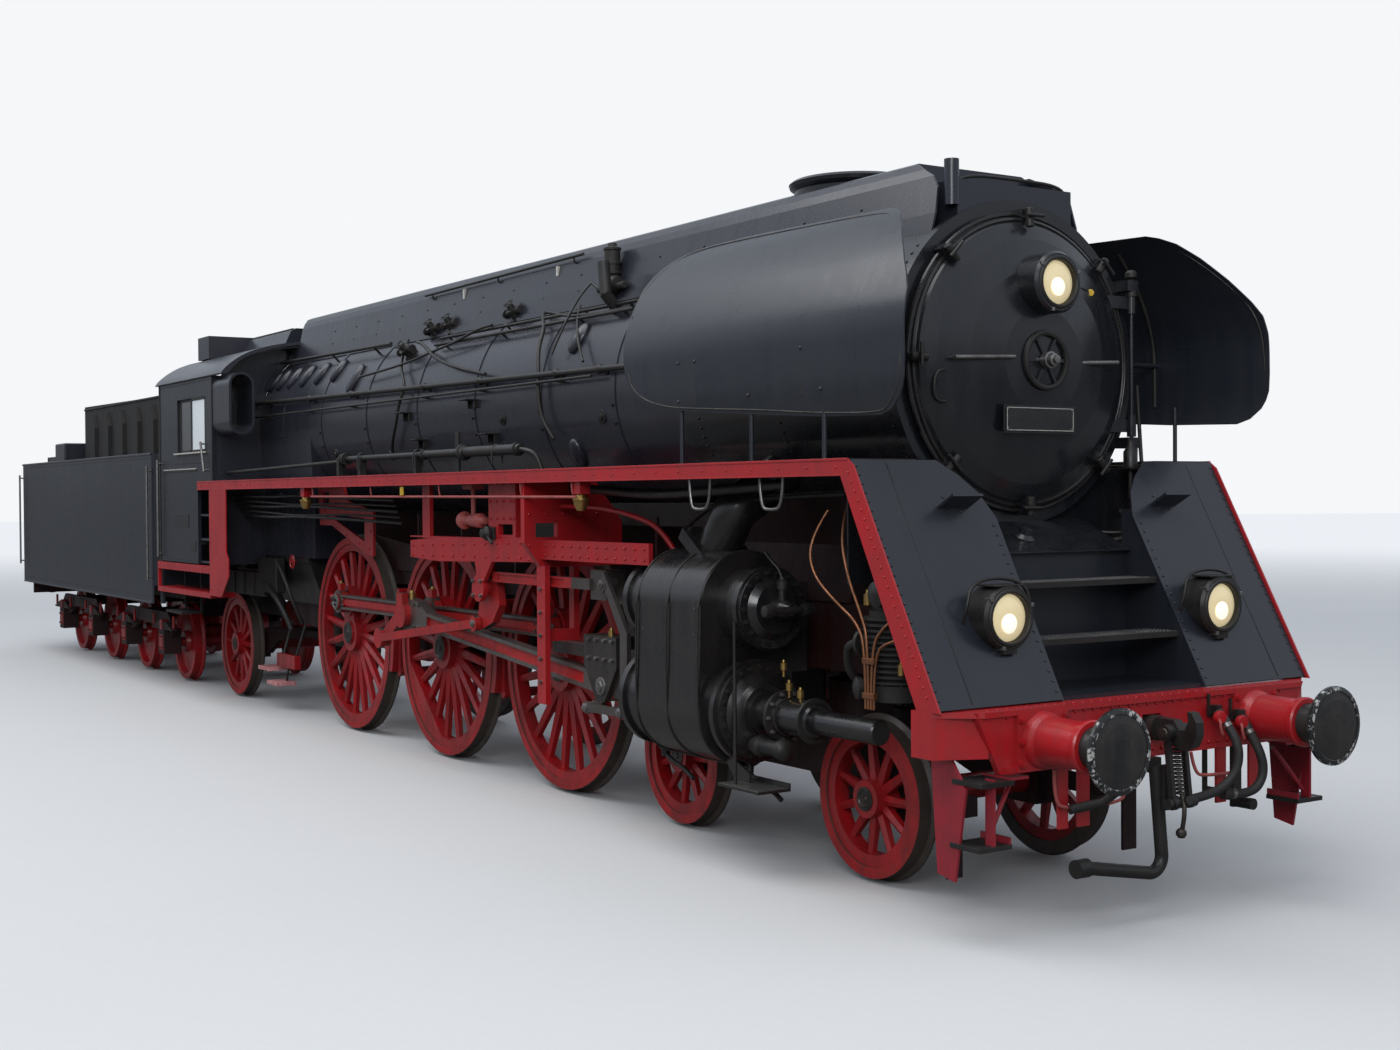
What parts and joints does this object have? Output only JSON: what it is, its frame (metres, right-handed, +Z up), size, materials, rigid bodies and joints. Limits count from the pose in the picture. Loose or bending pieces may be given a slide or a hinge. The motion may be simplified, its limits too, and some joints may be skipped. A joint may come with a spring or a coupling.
{
  "type": "steam locomotive with tender",
  "caption": "Express steam locomotive with spoked driving wheels, coupled rods, smoke deflectors, cab and a bogie tender hinged at its drawbar.",
  "frame": {"origin": "on the centre line halfway between the front and rear buffer faces, at the wheel flanges' lowest point, 28 mm below the rail head", "axes": "+X forward to the smokebox end, +Y to the engine's left, +Z up"},
  "size_m": [24.35, 3.05, 4.6319],
  "materials": {
    "black": "satin black paint with a dull sheen",
    "soot": "sooty dull black",
    "red": "glossy red enamel",
    "steel": "bright machined steel with oil film",
    "tyre": "rolled steel tyre, worn tread",
    "pipe": "black pipes with worn edges",
    "hose": "black rubber hose"
  },
  "bodies": {
    "engine": {"main_rods": "red", "crossheads": "steel", "valve_gear": "red", "motion_brackets": "red", "main_frame": "red", "front_beam": "red", "front_buffer_sleeves": "red", "front_buffer_heads": "soot", "front_coupling": "soot", "brake_hose_1": "hose", "brake_hose_2": "hose", "front_steps": "red", "boiler": "black", "smokebox": "black", "chimney": "black", "top_casing": "black", "smoke_deflectors": "black", "ashpan": "soot", "running_boards": "black", "valances": "red", "front_apron": "black", "front_lamps": "black", "cylinders": "black", "cylinder_covers": "soot", "steam_pipes": "soot", "cab_sides": "black", "cab_front": "black", "cab_roof": "black", "cab_floor": "black", "boiler_pipes": "pipe", "reservoirs": "black", "pumps": "soot", "brake_rigging": "soot"},
    "leading_bogie": {"bogie_frame": "red"},
    "trailing_truck": {"trailing_truck": "red"},
    "axle_bogie_1": {"wheels_bogie_1": "red", "tyres_bogie_1": "tyre"},
    "axle_bogie_2": {"wheels_bogie_2": "red", "tyres_bogie_2": "tyre"},
    "axle_driver_1": {"wheels_driver_1": "red", "tyres_driver_1": "tyre"},
    "axle_driver_2": {"wheels_driver_2": "red", "tyres_driver_2": "tyre"},
    "axle_driver_3": {"wheels_driver_3": "red", "tyres_driver_3": "tyre"},
    "axle_trailer": {"wheels_trailer": "red", "tyres_trailer": "tyre"},
    "rods_right": {"coupling_rods_right": "red"},
    "rods_left": {"coupling_rods_left": "red"},
    "smokebox_door": {"smokebox_door": "black"},
    "tender": {"tender_tank": "black", "tender_bunker": "black", "tender_frame": "red", "tender_buffers": "soot"},
    "tender_bogie_1": {"tender_bogie_1": "red"},
    "tender_bogie_2": {"tender_bogie_2": "red"},
    "axle_tender_1": {"wheels_tender_1": "red"},
    "axle_tender_2": {"wheels_tender_2": "red"},
    "axle_tender_3": {"wheels_tender_3": "red"},
    "axle_tender_4": {"wheels_tender_4": "red"}
  },
  "joints": [
    {"name": "leading_bogie_swivel", "type": "hinge", "parent": "engine", "child": "leading_bogie", "pos_m": [8.895, 0, 0.9], "axis": [0, 0, 1], "range_deg": [-2.5, 2.5]},
    {"name": "axle_bogie_1_turn", "type": "hinge", "parent": "leading_bogie", "child": "axle_bogie_1", "pos_m": [9.995, 0, 0.528], "axis": [0, 1, 0], "continuous": true},
    {"name": "axle_bogie_2_turn", "type": "hinge", "parent": "leading_bogie", "child": "axle_bogie_2", "pos_m": [7.795, 0, 0.528], "axis": [0, 1, 0], "continuous": true},
    {"name": "axle_driver_2_turn", "type": "hinge", "parent": "engine", "child": "axle_driver_2", "pos_m": [3.695, 0, 1.028], "axis": [0, 1, 0], "continuous": true},
    {"name": "axle_driver_1_turn", "type": "hinge", "parent": "engine", "child": "axle_driver_1", "pos_m": [5.995, 0, 1.028], "axis": [0, 1, 0], "continuous": true},
    {"name": "axle_driver_3_turn", "type": "hinge", "parent": "engine", "child": "axle_driver_3", "pos_m": [1.395, 0, 1.028], "axis": [0, 1, 0], "continuous": true},
    {"name": "rods_right_pin", "type": "hinge", "parent": "axle_driver_2", "child": "rods_right", "pos_m": [3.68348, -0.931, 1.3578], "axis": [0, 1, 0], "continuous": true},
    {"name": "rods_left_pin", "type": "hinge", "parent": "axle_driver_2", "child": "rods_left", "pos_m": [3.3652, 0.931, 1.01648], "axis": [0, 1, 0], "continuous": true},
    {"name": "trailing_truck_swing", "type": "hinge", "parent": "engine", "child": "trailing_truck", "pos_m": [-0.705, 0, 0.8], "axis": [0, 0, 1], "range_deg": [-2, 2]},
    {"name": "axle_trailer_turn", "type": "hinge", "parent": "trailing_truck", "child": "axle_trailer", "pos_m": [-2.405, 0, 0.653], "axis": [0, 1, 0], "continuous": true},
    {"name": "smokebox_door_swing", "type": "hinge", "parent": "engine", "child": "smokebox_door", "pos_m": [10.56, 0.935, 3.25], "axis": [0, 0, 1], "range_deg": [0, 110]},
    {"name": "drawbar_swivel", "type": "hinge", "parent": "engine", "child": "tender", "pos_m": [-3.39, 0, 1.25], "axis": [0, 0, 1], "range_deg": [-3, 3]},
    {"name": "tender_bogie_1_swivel", "type": "hinge", "parent": "tender", "child": "tender_bogie_1", "pos_m": [-5.575, 0, 1.1], "axis": [0, 0, 1], "range_deg": [-3, 3]},
    {"name": "axle_tender_1_turn", "type": "hinge", "parent": "tender_bogie_1", "child": "axle_tender_1", "pos_m": [-4.625, 0, 0.528], "axis": [0, 1, 0], "continuous": true},
    {"name": "axle_tender_2_turn", "type": "hinge", "parent": "tender_bogie_1", "child": "axle_tender_2", "pos_m": [-6.525, 0, 0.528], "axis": [0, 1, 0], "continuous": true},
    {"name": "tender_bogie_2_swivel", "type": "hinge", "parent": "tender", "child": "tender_bogie_2", "pos_m": [-9.375, 0, 1.1], "axis": [0, 0, 1], "range_deg": [-3, 3]},
    {"name": "axle_tender_3_turn", "type": "hinge", "parent": "tender_bogie_2", "child": "axle_tender_3", "pos_m": [-8.425, 0, 0.528], "axis": [0, 1, 0], "continuous": true},
    {"name": "axle_tender_4_turn", "type": "hinge", "parent": "tender_bogie_2", "child": "axle_tender_4", "pos_m": [-10.325, 0, 0.528], "axis": [0, 1, 0], "continuous": true}
  ],
  "couplings": [
    {"joint": "axle_driver_1_turn", "follows": "axle_driver_2_turn", "ratio": 1},
    {"joint": "axle_driver_3_turn", "follows": "axle_driver_2_turn", "ratio": 1},
    {"joint": "rods_right_pin", "follows": "axle_driver_2_turn", "ratio": -1},
    {"joint": "rods_left_pin", "follows": "axle_driver_2_turn", "ratio": -1}
  ]
}
